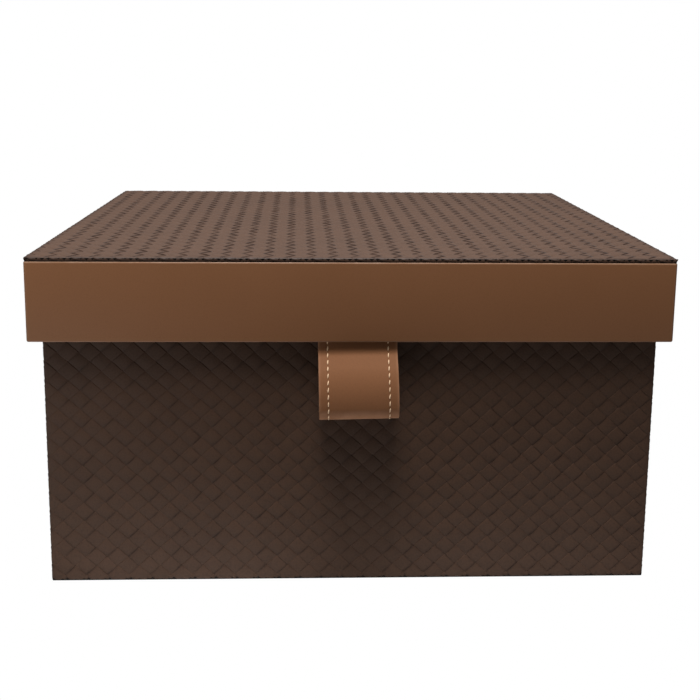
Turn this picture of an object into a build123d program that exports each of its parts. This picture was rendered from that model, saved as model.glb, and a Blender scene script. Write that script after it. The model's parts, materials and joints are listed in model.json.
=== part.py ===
from build123d import *
import os
from math import cos, radians, sin

# A storage box for papers and keepsakes. The body is a board box wrapped in woven leather and lined with cloth.
# The lift-off lid has a deep skirt in smooth tan leather, a woven panel on its top, and a pull loop made of a
# folded strap, whose ends are held in the skirt's front board.
# Sizes are millimetres. X runs left to right, the front faces -Y, and z = 0 is the surface that the box stands on.

# Body
body_width = 366.0
body_depth = 286.0
body_height = 194.6
wall_board = 4.0
base_board = 4.0
weave = 1.2
weave_corner = 1.6
weave_fold = 1.0
rim_turn_in = 15.0
base_turn_in = 16.0
wall_lining = 0.8
base_lining = 1.5

# Lid
lid_clearance = 1.2
skirt_drop = 41.4
skirt_leather = 0.9
skirt_corner = 1.4
skirt_fold = 0.7
skirt_board = 4.0
top_flange = 12.0
lid_board = 4.0
lid_lining = 1.5
panel_card = 1.2
panel_weave = 1.2
panel_corner = 1.6

# Pull loop: a strap of two plies, folded so that both ends run up into the skirt
strap_width = 46.8
strap_ply = 0.75
strap_offset = 2.6
strap_side_clearance = 0.3
leaf_gap = 0.2
tail_length = 24.0
neck_clearance = 0.1
loop_drop = 45.2
fold_radius = 7.7
neck_run = 2.0
neck_radius = 8.0
shoulder_radius = 36.0
lean_angle = radians(38.0)

# Levels, from the ground up
base_bottom = weave
base_top = base_bottom + base_board
floor_top = base_top + base_lining
wall_top = body_height - weave
rim_fold_bottom = body_height - rim_turn_in
lid_board_bottom = body_height + lid_lining
lid_board_top = lid_board_bottom + lid_board
panel_bottom = lid_board_top + skirt_leather
card_top = panel_bottom + panel_card
lid_top = card_top + panel_weave
skirt_bottom = body_height - skirt_drop

# Outlines
carcass_width = body_width - 2 * weave
carcass_depth = body_depth - 2 * weave
inner_width = carcass_width - 2 * wall_board
inner_depth = carcass_depth - 2 * wall_board
skirt_inner_width = body_width + 2 * lid_clearance
skirt_inner_depth = body_depth + 2 * lid_clearance
hollow_width = skirt_inner_width + 2 * skirt_leather
hollow_depth = skirt_inner_depth + 2 * skirt_leather
frame_width = hollow_width + 2 * skirt_board
frame_depth = hollow_depth + 2 * skirt_board
lid_width = frame_width + 2 * skirt_leather
lid_depth = frame_depth + 2 * skirt_leather

# Strap: half of the folded stack, and the line about which the loop swings
half_stack = leaf_gap / 2 + 2 * strap_ply
glue_line = leaf_gap / 2 + strap_ply
hinge_y = -hollow_depth / 2 - half_stack
hinge_z = skirt_bottom - neck_clearance - half_stack


def slab(width, depth, bottom, top, x=0.0, y=0.0):
    """A flat board, card or panel between two heights."""
    return Pos(x, y, bottom) * Box(width, depth, top - bottom, align=(Align.CENTER, Align.CENTER, Align.MIN))


def rounded_slab(width, depth, corner, bottom, top):
    """A slab with rounded upright corners."""
    return Pos(0, 0, bottom) * extrude(RectangleRounded(width, depth, corner), top - bottom)


def edges_at(shape, height, width, depth):
    """The edges at one height that run round a rectangle of this size, corners included."""
    tolerance = 0.01
    found = []
    for edge in shape.edges():
        box = edge.bounding_box()
        middle = edge.center(CenterOf.BOUNDING_BOX)
        level = abs(box.min.Z - height) < tolerance and abs(box.max.Z - height) < tolerance
        reach = max(abs(middle.X) / (width / 2), abs(middle.Y) / (depth / 2))
        if level and 1 - reach < tolerance and reach - 1 < tolerance:
            found.append(edge)
    return found


def four_walls(width, depth, thickness, bottom, top):
    """Front, back, left and right walls inside a width by depth outline, the side walls between the other two."""
    front_y = (depth - thickness) / 2
    side_x = (width - thickness) / 2
    side_depth = depth - 2 * thickness
    return {
        "front": slab(width, thickness, bottom, top, y=-front_y),
        "back": slab(width, thickness, bottom, top, y=front_y),
        "left": slab(thickness, side_depth, bottom, top, x=-side_x),
        "right": slab(thickness, side_depth, bottom, top, x=side_x),
    }


def woven_wrap():
    """Woven leather round the body, folded over the rim and under the base."""
    fold_width = inner_width - 2 * weave
    fold_depth = inner_depth - 2 * weave
    wrap = rounded_slab(body_width, body_depth, weave_corner, 0, body_height)
    wrap = fillet(edges_at(wrap, body_height, body_width, body_depth), min(weave_fold, 0.9 * weave))
    wrap = fillet(edges_at(wrap, 0, body_width, body_depth), min(weave_fold, 0.9 * weave))
    wrap -= slab(carcass_width, carcass_depth, base_bottom, rim_fold_bottom)
    rim_board = slab(carcass_width, carcass_depth, rim_fold_bottom, wall_top)
    rim_board -= slab(inner_width, inner_depth, rim_fold_bottom, wall_top)
    wrap -= rim_board
    wrap -= slab(fold_width, fold_depth, rim_fold_bottom, body_height)
    wrap = fillet(edges_at(wrap, body_height, fold_width, fold_depth), min(weave_fold, 0.9 * weave))
    return wrap - slab(body_width - 2 * base_turn_in, body_depth - 2 * base_turn_in, 0, base_bottom)


def underside_cover():
    """Felt sheet let in between the folded edges of the wrap."""
    return slab(body_width - 2 * base_turn_in, body_depth - 2 * base_turn_in, 0, base_bottom)


def body_pieces():
    """Every piece of the box body."""
    pieces = {
        "base_board": slab(carcass_width, carcass_depth, base_bottom, base_top),
        "woven_body_wrap": woven_wrap(),
        "underside_cover": underside_cover(),
    }
    walls = four_walls(carcass_width, carcass_depth, wall_board, base_top, wall_top)
    linings = four_walls(inner_width, inner_depth, wall_lining, base_top, rim_fold_bottom)
    for side, wall in walls.items():
        pieces[f"{side}_wall_board"] = wall
        pieces[f"{side}_wall_lining"] = linings[side]
    pieces["base_lining"] = slab(
        inner_width - 2 * wall_lining, inner_depth - 2 * wall_lining, base_top, floor_top
    )
    return pieces


def strap_pocket():
    """Space for the strap's ends in the front skirt board, and the slit below it in the leather."""
    width = strap_width + 2 * strap_side_clearance
    top = skirt_bottom + tail_length + strap_side_clearance
    return slab(width, 2 * half_stack, skirt_bottom, top, x=strap_offset, y=hinge_y)


def skirt_wrap():
    """Tan leather folded round the skirt's lower edge, with a flange on the lid board and a slit for the strap."""
    fold = min(skirt_fold, 0.9 * skirt_leather)
    wrap = rounded_slab(lid_width, lid_depth, skirt_corner, skirt_bottom, panel_bottom)
    wrap = fillet(edges_at(wrap, skirt_bottom, lid_width, lid_depth), fold)
    wrap = fillet(edges_at(wrap, panel_bottom, lid_width, lid_depth), fold)
    wrap -= slab(skirt_inner_width, skirt_inner_depth, skirt_bottom, lid_board_bottom)
    wrap = fillet(edges_at(wrap, skirt_bottom, skirt_inner_width, skirt_inner_depth), fold)
    boards = slab(frame_width, frame_depth, skirt_bottom + skirt_leather, lid_board_bottom)
    boards -= slab(hollow_width, hollow_depth, skirt_bottom, lid_board_bottom)
    wrap -= boards
    wrap -= slab(frame_width, frame_depth, lid_board_bottom, lid_board_top)
    wrap -= slab(frame_width - 2 * top_flange, frame_depth - 2 * top_flange, lid_board_top, panel_bottom)
    return wrap - strap_pocket()


def top_panel_cover():
    """Woven leather over the top panel's card and down its edges."""
    cover = rounded_slab(lid_width, lid_depth, panel_corner, panel_bottom, lid_top)
    cover = fillet(edges_at(cover, lid_top, lid_width, lid_depth), min(weave_fold, 0.9 * panel_weave))
    return cover - slab(lid_width - 2 * panel_weave, lid_depth - 2 * panel_weave, panel_bottom, card_top)


def lid_pieces():
    """Every piece of the lid but the strap."""
    card_width = lid_width - 2 * panel_weave
    card_depth = lid_depth - 2 * panel_weave
    pieces = {
        "lid_top_board": slab(frame_width, frame_depth, lid_board_bottom, lid_board_top),
        "skirt_leather": skirt_wrap(),
        "top_foam_sheet": slab(
            frame_width - 2 * top_flange, frame_depth - 2 * top_flange, lid_board_top, panel_bottom
        ),
        "top_panel_card": slab(card_width, card_depth, panel_bottom, card_top),
        "woven_top_cover": top_panel_cover(),
        "lid_lining": slab(skirt_inner_width, skirt_inner_depth, body_height, lid_board_bottom),
    }
    boards = four_walls(
        frame_width, frame_depth, skirt_board, skirt_bottom + skirt_leather, lid_board_bottom
    )
    boards["front"] -= strap_pocket()
    for side, board in boards.items():
        pieces[f"skirt_{side}_board"] = board
    return pieces


def side_point(out, down):
    """A point of the side view: out to the front of the hinge line, and down from it."""
    return (hinge_y - out, hinge_z - down)


def strap_rail(offset):
    """Side view of the hanging strap, this far outside the glue line between its plies, from back to front."""
    fold_out = fold_radius - glue_line
    fold_down = loop_drop - neck_clearance - half_stack - fold_radius - strap_ply
    front_out = fold_out + fold_radius
    bend = 1 - cos(lean_angle)
    reach = front_out - glue_line - (neck_radius + shoulder_radius) * bend
    slope_run = reach / sin(lean_angle)
    shoulder_down = neck_run + (neck_radius + shoulder_radius) * sin(lean_angle) + slope_run * cos(lean_angle)

    def shoulder(angle):
        radius = shoulder_radius + offset
        return side_point(front_out - shoulder_radius + radius * cos(angle), shoulder_down - radius * sin(angle))

    def neck(angle):
        radius = neck_radius - offset
        return side_point(glue_line + neck_radius - radius * cos(angle), neck_run + radius * sin(angle))

    back = -glue_line - offset
    lowest = fold_down + fold_radius + offset
    return [
        Line(side_point(back, -half_stack), side_point(back, fold_down)),
        ThreePointArc(side_point(back, fold_down), side_point(fold_out, lowest), side_point(front_out + offset, fold_down)),
        Line(side_point(front_out + offset, fold_down), shoulder(0)),
        ThreePointArc(shoulder(0), shoulder(lean_angle / 2), shoulder(lean_angle)),
        Line(shoulder(lean_angle), neck(lean_angle)),
        ThreePointArc(neck(lean_angle), neck(lean_angle / 2), neck(0)),
        Line(neck(0), side_point(glue_line + offset, -half_stack)),
    ]


def hanging_ply(inside, outside):
    """One ply of the hanging strap, with its upper ends rounded about the hinge line."""
    inner = strap_rail(inside)
    outer = strap_rail(outside)
    caps = [Line(inner[0] @ 0, outer[0] @ 0), Line(inner[-1] @ 1, outer[-1] @ 1)]
    section = make_face(inner + outer + caps)
    corner_block = Pos(hinge_y, hinge_z + half_stack / 2) * Rectangle(2 * half_stack, half_stack)
    section -= corner_block - Pos(hinge_y, hinge_z) * Circle(half_stack)
    side = Plane.YZ.offset(strap_offset - strap_width / 2)
    return extrude(side * section, strap_width)


def tail_ply(inside, outside):
    """One ply of the strap's two ends, flat in the skirt's pocket."""
    ends = []
    for side in (-1, 1):
        middle = hinge_y + side * (inside + outside) / 2
        ends.append(
            slab(strap_width, outside - inside, skirt_bottom, skirt_bottom + tail_length, x=strap_offset, y=middle)
        )
    return Compound(children=ends)


def strap_pieces():
    """The strap's face and backing, each as the hanging loop and the ends that the skirt holds."""
    return {
        "strap_face": hanging_ply(0, strap_ply),
        "strap_backing": hanging_ply(-strap_ply, 0),
        "strap_face_tails": tail_ply(glue_line, half_stack),
        "strap_backing_tails": tail_ply(leaf_gap / 2, glue_line),
    }


pieces = {**body_pieces(), **lid_pieces(), **strap_pieces()}
os.makedirs("parts", exist_ok=True)
for name, shape in pieces.items():
    export_step(shape, f"parts/{name}.step")
print("outside", lid_width, lid_depth, lid_top)
print("hinge line", strap_offset, hinge_y, hinge_z)
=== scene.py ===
import json
import logging
from dataclasses import dataclass, field, replace
from enum import Enum
from math import ceil, cos, hypot, pi, radians, sin
from typing import ClassVar, Optional, Sequence

import bmesh
import bpy
import numpy as np
from mathutils import Matrix, Vector


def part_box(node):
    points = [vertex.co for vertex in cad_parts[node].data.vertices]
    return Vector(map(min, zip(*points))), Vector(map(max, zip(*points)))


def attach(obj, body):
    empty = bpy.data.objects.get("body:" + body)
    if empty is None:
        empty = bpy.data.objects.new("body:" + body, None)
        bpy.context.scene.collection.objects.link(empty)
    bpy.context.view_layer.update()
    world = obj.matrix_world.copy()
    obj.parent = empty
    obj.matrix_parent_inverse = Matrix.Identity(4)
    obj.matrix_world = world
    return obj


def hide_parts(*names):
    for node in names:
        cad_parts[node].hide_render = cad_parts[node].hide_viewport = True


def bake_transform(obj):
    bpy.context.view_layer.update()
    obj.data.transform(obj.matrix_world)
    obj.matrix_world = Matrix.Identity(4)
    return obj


# A storage box in woven leather with a lift-off lid and a leather pull loop, in metres.

logging.basicConfig(level=logging.INFO, format="%(message)s")
LOG = logging.getLogger("storage_box")

MM = 0.001
SIDES = ("front", "back", "left", "right")
# Each point's share of its finish's edge colour: painted shade on the woven pads, rubbing and painted light
# on the tan leather.
EDGE_SHADING_AND_WEAR = "edge"
TONE = "tone"
STRAP_MAP = "strap"
PANEL_ROUNDING = 0.5 * MM
# The most that a rounded edge may take of the side it stands on.
ROUNDED_SHARE = 0.45
# Cells of the weave beyond a sheet's reach, so that it still covers the sheet when it is shifted.
SPARE_CELLS = 3
CUT_TOLERANCE = 1e-7
SMALLEST_RADIUS = 1e-5

Point2 = tuple[float, float]
Point3 = tuple[float, float, float]
OutlinePoint = tuple[float, float, float]
Station = tuple[Point2, Point2, float]
Colour = tuple[float, float, float]
Socket = bpy.types.NodeSocket
Given = dict[int | str, object]
Inputs = dict[str, tuple[str, object]]

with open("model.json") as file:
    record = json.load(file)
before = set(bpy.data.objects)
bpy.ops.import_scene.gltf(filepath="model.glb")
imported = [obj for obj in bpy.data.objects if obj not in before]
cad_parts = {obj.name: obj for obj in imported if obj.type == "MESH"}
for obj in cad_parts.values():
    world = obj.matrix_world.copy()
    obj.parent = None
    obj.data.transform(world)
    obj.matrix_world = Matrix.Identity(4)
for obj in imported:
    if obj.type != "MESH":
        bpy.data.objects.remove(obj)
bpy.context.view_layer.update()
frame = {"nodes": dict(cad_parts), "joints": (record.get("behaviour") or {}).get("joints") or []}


def srgb(red: int, green: int, blue: int) -> Colour:
    """A screen colour, 0 to 255 a channel, as scene linear."""
    def linear(value: int) -> float:
        """One channel as scene linear."""
        share = value / 255
        return share / 12.92 if share <= 0.04045 else ((share + 0.055) / 1.055) ** 2.4
    return (linear(red), linear(green), linear(blue))


class Grain(Enum):
    """How a material's fine surface is laid out."""

    PEBBLE = "pebble"
    CLOTH = "cloth"
    FIBRE = "fibre"


class NodeBuilder:
    """Short calls for wiring a shader or geometry node tree."""

    def __init__(self, tree: bpy.types.NodeTree) -> None:
        """Keep the tree that the nodes go into."""
        self.tree = tree

    def feed(self, socket: Socket, value: object) -> None:
        """Link a socket into another, or set its value.

        Args:
            socket: The input that is fed.
            value: A plain value, or another node's output.
        """
        if isinstance(value, bpy.types.NodeSocket):
            self.tree.links.new(value, socket)
        else:
            socket.default_value = value

    def node(self, kind: str, given: Optional[Given] = None, **settings: object) -> bpy.types.Node:
        """Add a node, set its properties and feed its inputs.

        Args:
            kind: The node's type name.
            given: Values or sockets for its inputs, by name or number.
            settings: Properties of the node, by name.

        Returns:
            The new node.
        """
        made = self.tree.nodes.new(kind)
        for name, value in settings.items():
            setattr(made, name, value)
        for key, value in (given or {}).items():
            self.feed(made.inputs[key], value)
        return made

    def output(self, kind: str, given: Optional[Given] = None, **settings: object) -> Socket:
        """Add a node as node does, and give its first output."""
        return self.node(kind, given, **settings).outputs[0]

    def maths(self, operation: str, *values: object) -> Socket:
        """The result of a Math node's operation on one to three numbers or sockets."""
        return self.output("ShaderNodeMath", dict(enumerate(values)), operation=operation)

    def add(self, first: object, second: object) -> Socket:
        """The sum of two numbers or sockets."""
        return self.maths("ADD", first, second)

    def minus(self, first: object, second: object) -> Socket:
        """The difference of two numbers or sockets."""
        return self.maths("SUBTRACT", first, second)

    def times(self, first: object, second: object) -> Socket:
        """The product of two numbers or sockets."""
        return self.maths("MULTIPLY", first, second)

    def power(self, base: object, exponent: object) -> Socket:
        """One number or socket raised to another."""
        return self.maths("POWER", base, exponent)

    def step(self, value: object, low: float, high: float) -> Socket:
        """A smooth step from 0 at low to 1 at high."""
        given = {"Value": value, "From Min": low, "From Max": high}
        return self.node("ShaderNodeMapRange", given, interpolation_type="SMOOTHSTEP").outputs["Result"]

    def vector(self, *parts: object) -> Socket:
        """Three numbers or sockets as one vector."""
        return self.output("ShaderNodeCombineXYZ", dict(enumerate(parts)))

    def split(self, vector: Socket) -> Sequence[Socket]:
        """The x, y and z of a vector."""
        return self.node("ShaderNodeSeparateXYZ", {0: vector}).outputs

    def attribute(self, name: str) -> Socket:
        """The number that a mesh keeps under a name."""
        return self.node("ShaderNodeAttribute", attribute_name=name).outputs["Fac"]

    def mix(self, share: Socket, first: object, second: object) -> Socket:
        """The colour at a share of the way from the first to the second."""
        return self.node("ShaderNodeMix", {"Factor": share, 6: first, 7: second}, data_type="RGBA").outputs[2]

    def keep(self, geometry: Socket, name: str, value: Socket, domain: str) -> Socket:
        """Geometry that keeps a number under a name, on each point or instance."""
        given = {"Geometry": geometry, "Name": name, "Value": value}
        return self.output("GeometryNodeStoreNamedAttribute", given, data_type="FLOAT", domain=domain)

    def hand_out(self, instances: Socket, material: Socket) -> None:
        """End a geometry tree: make the instances real, give them the material and pass them on.

        Args:
            instances: The geometry made so far.
            material: The material for all of it.
        """
        real = self.output("GeometryNodeRealizeInstances", {"Geometry": instances})
        painted = self.output("GeometryNodeSetMaterial", {"Geometry": real, "Material": material})
        self.node("NodeGroupOutput", {0: painted})


@dataclass(frozen=True)
class Finish:
    """A surface finish: its colours, gloss and fine grain. Scales are in cells a metre."""

    name: str
    slot: str
    colour: Colour
    deep_colour: Colour
    roughness: float = 0.5
    grain: Grain = Grain.PEBBLE
    grain_size: float = 1.1 * MM
    grain_depth: float = 0.05 * MM
    mottle: float = 0.25
    sheen: float = 0.0
    gloss: float = 0.2
    tone_attribute: Optional[str] = None
    # Edge colour: painted shade on the woven leather; rubbing mixed with painted highlight and painted light
    # from below on the tan leather.
    edge_shading_and_wear_colour: Optional[Colour] = None
    edge_range: Point2 = (0.5, 1.1)
    surface_map: Optional[str] = None

    mottle_scale: ClassVar[float] = 22.0
    worn_scale: ClassVar[float] = 60.0
    patch_scale: ClassVar[float] = 90.0
    patch_range: ClassVar[Point2] = (0.3, 0.7)
    crease_range: ClassVar[Point2] = (0.15, 0.7)
    crease_share: ClassVar[float] = 0.35
    own_tone_share: ClassVar[float] = 0.1
    roughness_spread: ClassVar[float] = 0.16
    pebble_softness: ClassVar[float] = 0.6
    pebble_share: ClassVar[float] = 0.75
    pores_a_pebble: ClassVar[float] = 3.0
    thread_share: ClassVar[float] = 0.3
    lint_share: ClassVar[float] = 0.5
    lint_scale: ClassVar[float] = 900.0
    fibre_detail: ClassVar[float] = 8.0

    def place(self, build: NodeBuilder) -> Socket:
        """The coordinates that the finish is laid out on, in metres."""
        if self.surface_map:
            return build.output("ShaderNodeUVMap", uv_map=self.surface_map)
        return build.node("ShaderNodeTexCoord").outputs["Object"]

    def noise(self, build: NodeBuilder, place: Socket, scale: float, detail: float = 3.0) -> Socket:
        """A noise texture's value at a place, with a number of cells in a metre."""
        given = {"Vector": place, "Scale": scale, "Detail": detail}
        return build.node("ShaderNodeTexNoise", given).outputs["Fac"]

    def pebbles(self, build: NodeBuilder, place: Socket) -> Socket:
        """Rounded leather pores and pebbles.

        Args:
            build: The material's builder.
            place: The coordinates.

        Returns:
            A height, from 0 in the creases to 1.
        """
        given = {"Vector": place, "Scale": 1 / self.grain_size, "Smoothness": self.pebble_softness}
        cells = build.node("ShaderNodeTexVoronoi", given, feature="SMOOTH_F1")
        fine = self.noise(build, place, self.pores_a_pebble / self.grain_size)
        rounded = build.minus(1.0, cells.outputs["Distance"])
        return build.add(build.times(rounded, self.pebble_share), build.times(fine, 1 - self.pebble_share))

    def cloth(self, build: NodeBuilder, place: Socket) -> Socket:
        """Crossing threads of a plain cloth.

        Args:
            build: The material's builder.
            place: The coordinates.

        Returns:
            A height, from 0 to 1.
        """
        turns = 2 * pi / self.grain_size
        x, y, z = (build.maths("SINE", build.times(part, turns)) for part in build.split(place))
        crossed = build.add(build.times(x, y), build.times(z, build.add(x, y)))
        lint = build.times(self.noise(build, place, self.lint_scale), self.lint_share)
        return build.add(build.times(crossed, self.thread_share), lint)

    def height(self, build: NodeBuilder, place: Socket) -> Socket:
        """The grain's height, by its kind.

        Args:
            build: The material's builder.
            place: The coordinates.

        Returns:
            A height, from 0 to 1.
        """
        if self.grain is Grain.PEBBLE:
            return self.pebbles(build, place)
        if self.grain is Grain.CLOTH:
            return self.cloth(build, place)
        return self.noise(build, place, 1 / self.grain_size, self.fibre_detail)

    def tone(self, build: NodeBuilder, place: Socket, height: Socket) -> Socket:
        """How much of the deep colour shows: broad mottling, the grain's creases and each pad's own tone.

        Args:
            build: The material's builder.
            place: The coordinates.
            height: The grain's height.

        Returns:
            The deep colour's share, up to 1.
        """
        broad = self.noise(build, place, self.mottle_scale)
        low_ground = build.minus(1.0, build.step(height, *self.crease_range))
        share = build.add(build.times(broad, self.mottle), build.times(low_ground, self.crease_share))
        if self.tone_attribute:
            share = build.add(share, build.times(build.attribute(self.tone_attribute), self.own_tone_share))
        return build.maths("MINIMUM", share, 1.0)

    def with_edge_shading_and_wear(self, build: NodeBuilder, place: Socket, colour: Socket) -> Socket:
        """The colour, changed in patches along folds, cut edges and pad sides where the finish has an edge
        colour for them: painted shade on the weave, rubbing and painted light on the tan leather.

        Args:
            build: The material's builder.
            place: The coordinates.
            colour: The colour away from the edges.

        Returns:
            The colour all over.
        """
        if not self.edge_shading_and_wear_colour:
            return colour
        edge = build.attribute(EDGE_SHADING_AND_WEAR)
        patchy = build.step(self.noise(build, place, self.patch_scale), *self.patch_range)
        faint, strong = self.edge_range
        uneven = build.add(build.times(patchy, strong - faint), faint)
        share = build.maths("MINIMUM", build.times(edge, uneven), 1.0)
        return build.mix(share, colour, (*self.edge_shading_and_wear_colour, 1))

    def material(self) -> bpy.types.Material:
        """Build the finish's material, or return it if it is there.

        Returns:
            The material, with its nodes.
        """
        known = bpy.data.materials.get(self.name)
        if known:
            return known
        material = bpy.data.materials.new(self.name)
        material.use_nodes = True
        material.diffuse_color = (*self.colour, 1)
        build = NodeBuilder(material.node_tree)
        shader = material.node_tree.nodes["Principled BSDF"]
        place = self.place(build)
        height = self.height(build, place)
        colour = build.mix(self.tone(build, place, height), (*self.colour, 1), (*self.deep_colour, 1))
        worn = build.times(self.noise(build, place, self.worn_scale), self.roughness_spread)
        bump = build.output("ShaderNodeBump", {"Height": height, "Distance": self.grain_depth})
        build.feed(shader.inputs["Base Color"], self.with_edge_shading_and_wear(build, place, colour))
        build.feed(shader.inputs["Roughness"], build.add(worn, self.roughness - self.roughness_spread / 2))
        build.feed(shader.inputs["Normal"], bump)
        shader.inputs["Specular IOR Level"].default_value = self.gloss
        if self.sheen:
            shader.inputs["Sheen Weight"].default_value = self.sheen
        return material


# The woven leather's edge colour is painted shade along the pads' sides; it also darkens the top's hem.
WOVEN = Finish(
    "woven_leather_strips", "woven_leather", srgb(59, 41, 30), srgb(37, 25, 18),
    roughness=0.55, gloss=0.12, grain_size=0.9 * MM, grain_depth=0.04 * MM,
    tone_attribute=TONE, edge_shading_and_wear_colour=srgb(24, 12, 7), edge_range=(0.1, 1.4),
)
WOVEN_TOP = replace(WOVEN, name="woven_leather_top_strips", edge_range=(0.5, 1.1))
# A near-black sheet under the weave: painted shade for the gaps between the strips.
GAP_SHADE = Finish(
    "woven_gap_painted_shade", "woven_leather", srgb(22, 15, 11), srgb(12, 8, 6),
    roughness=0.7, gloss=0.1, grain_depth=0.03 * MM,
)
# Its edge colour is rubbing on the skirt's folds and corners, and a painted highlight on the top fold.
TAN = Finish(
    "tan_leather_smooth", "tan_leather", srgb(104, 70, 46), srgb(94, 62, 39),
    roughness=0.48, gloss=0.12, grain_size=0.8 * MM, grain_depth=0.018 * MM, mottle=0.5,
    edge_shading_and_wear_colour=srgb(120, 94, 76),
)
# Its edge colour is rubbing along the strap's sides and painted light from below under its fold.
STRAP = Finish(
    "tan_leather_strap", "tan_leather", srgb(99, 66, 44), srgb(89, 59, 39),
    roughness=0.6, gloss=0.03, grain_size=0.8 * MM, grain_depth=0.02 * MM, mottle=0.5,
    edge_shading_and_wear_colour=srgb(140, 106, 84), surface_map=STRAP_MAP,
)
THREAD = Finish(
    "waxed_cream_thread", "tan_leather", srgb(200, 170, 138), srgb(158, 128, 98),
    roughness=0.6, grain=Grain.FIBRE, grain_size=0.4 * MM, grain_depth=0.03 * MM, mottle=0.6, sheen=0.1,
)
LINING = Finish(
    "brown_lining_cloth", "lining_cloth", srgb(92, 76, 64), srgb(62, 50, 42),
    roughness=0.85, grain=Grain.CLOTH, grain_size=1.2 * MM, grain_depth=0.08 * MM, mottle=0.3, sheen=0.25,
)
FELT = Finish(
    "dark_felt", "felt", srgb(44, 42, 40), srgb(24, 23, 22),
    roughness=0.95, grain=Grain.FIBRE, grain_size=0.9 * MM, grain_depth=0.15 * MM, mottle=0.5, sheen=0.3,
)
FIBREBOARD = Finish(
    "pressed_fibreboard", "fibreboard", srgb(172, 146, 116), srgb(140, 112, 84),
    roughness=0.8, grain=Grain.FIBRE, grain_size=1.2 * MM,
)
CARD = Finish(
    "grey_card", "card", srgb(160, 154, 144), srgb(128, 122, 112),
    roughness=0.85, grain=Grain.FIBRE, grain_size=1.0 * MM, grain_depth=0.03 * MM,
)
FOAM = Finish(
    "pale_foam", "foam", srgb(218, 214, 202), srgb(188, 184, 170),
    roughness=0.9, grain=Grain.FIBRE, grain_size=0.6 * MM, grain_depth=0.1 * MM,
)


def new_object(name: str, data: bpy.types.ID) -> bpy.types.Object:
    """Link an object at the origin.

    Args:
        name: The object's name.
        data: Its mesh, lamp or camera.

    Returns:
        The object.
    """
    made = bpy.data.objects.new(name, data)
    bpy.context.scene.collection.objects.link(made)
    return made


def dress(piece: bpy.types.Object, finish: Finish, smooth: bool = True) -> None:
    """Give a piece one finish all over.

    Args:
        piece: The mesh object.
        finish: Its finish.
        smooth: Whether its faces are shaded smooth.
    """
    piece.data.materials.clear()
    piece.data.materials.append(finish.material())
    if smooth:
        piece.data.polygons.foreach_set("use_smooth", [True] * len(piece.data.polygons))


def report(piece: bpy.types.Object) -> None:
    """Log a piece's name and how many triangles its mesh has."""
    piece.data.calc_loop_triangles()
    LOG.info("%s: %d triangles", piece.name, len(piece.data.loop_triangles))


def stand_in(piece: bpy.types.Object, finish: Finish, body: str, node: str) -> None:
    """Dress a piece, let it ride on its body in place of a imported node, and log it.

    Args:
        piece: The mesh object.
        finish: Its finish.
        body: The body that it rides on.
        node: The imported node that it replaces.
    """
    dress(piece, finish)
    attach(piece, body)
    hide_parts(node)
    report(piece)


def new_tree(name: str, inputs: Inputs) -> bpy.types.NodeTree:
    """A geometry node tree with named inputs and no nodes yet.

    Args:
        name: The tree's name.
        inputs: Each input's socket type and value, by its name.

    Returns:
        The tree, which takes and gives geometry.
    """
    tree = bpy.data.node_groups.new(name, "GeometryNodeTree")
    tree.interface.new_socket("Geometry", in_out="INPUT", socket_type="NodeSocketGeometry")
    for label, (kind, value) in inputs.items():
        socket = tree.interface.new_socket(label, in_out="INPUT", socket_type=kind)
        if value is not None:
            socket.default_value = value
    tree.interface.new_socket("Geometry", in_out="OUTPUT", socket_type="NodeSocketGeometry")
    return tree


def grow(
    name: str, start: bpy.types.Mesh, tree: bpy.types.NodeTree, values: dict[str, object]
) -> bpy.types.Mesh:
    """What a geometry node tree makes of a mesh, as a plain mesh.

    Args:
        name: The new mesh's name.
        start: The mesh that the tree is given.
        tree: The tree.
        values: Values for some of its inputs, by name.

    Returns:
        The new mesh, with the tree's material.
    """
    carrier = new_object(f"{name}_carrier", start)
    modifier = carrier.modifiers.new(name, "NODES")
    modifier.node_group = tree
    for item in tree.interface.items_tree:
        if item.in_out == "INPUT" and item.name in values:
            modifier[item.identifier] = values[item.name]
    graph = bpy.context.evaluated_depsgraph_get()
    mesh = bpy.data.meshes.new_from_object(carrier.evaluated_get(graph), depsgraph=graph)
    mesh.name = name
    carrier.modifiers.remove(modifier)
    bpy.data.objects.remove(carrier)
    return mesh


def mesh_from(name: str, points: Sequence[Point3], faces: Sequence[Sequence[int]]) -> bpy.types.Mesh:
    """A mesh of these points and faces.

    Args:
        name: The mesh's name.
        points: Its points.
        faces: The numbers of each face's points.

    Returns:
        The mesh.
    """
    mesh = bpy.data.meshes.new(name)
    mesh.from_pydata(points, [], faces)
    mesh.update()
    return mesh


def unit(vector: np.ndarray) -> np.ndarray:
    """A vector at a length of 1."""
    return vector / np.linalg.norm(vector)


def hump(share: float) -> float:
    """A rise from 0 at both ends of a stretch to 1 at its middle."""
    return 4 * share * (1 - share)


@dataclass(frozen=True)
class Stretch:
    """A straight run of a fold path, or a bend where it turns."""

    length: float
    start: np.ndarray
    along: np.ndarray
    turn: float = 0.0


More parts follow.
